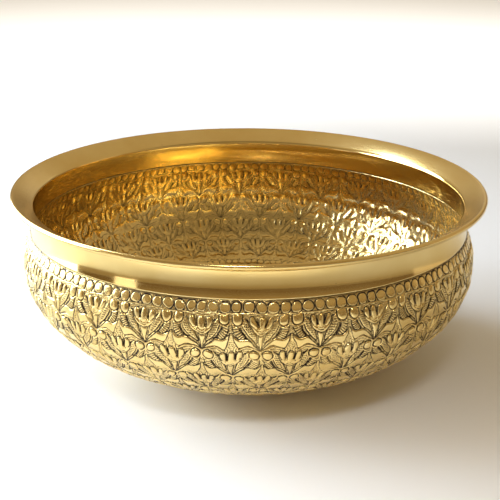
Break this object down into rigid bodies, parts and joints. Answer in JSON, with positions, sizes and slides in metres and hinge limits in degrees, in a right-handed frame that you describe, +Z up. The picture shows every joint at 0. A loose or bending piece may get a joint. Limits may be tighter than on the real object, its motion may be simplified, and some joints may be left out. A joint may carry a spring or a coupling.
{
  "type": "urli bowl",
  "caption": "Wide round brass bowl with a flared, wire-rolled rim, polished neck, chased floral wall and low foot ring, for water and floating flowers.",
  "frame": {"origin": "centre of the plane that the foot ring rests on", "axes": "+Z up along the bowl's axis of revolution; X and Y are any two radii, because the solids are round"},
  "size_m": [0.305, 0.305, 0.119],
  "materials": {
    "chased_brass": "chased and punched, polished on the high points, darkened in the cut lines",
    "polished_brass": "polished neck with fine spinning lines, satin lip",
    "core_wire": "plain drawn wire, enclosed",
    "foot_brass": "turned, dull",
    "braze": "brazing filler, dressed smooth"
  },
  "bodies": {
    "root": {"bowl_body": "chased_brass", "rim_collar": "polished_brass", "rim_wire": "core_wire", "collar_braze_seam": "braze", "foot_ring": "foot_brass", "foot_braze_seam": "braze"}
  },
  "joints": []
}
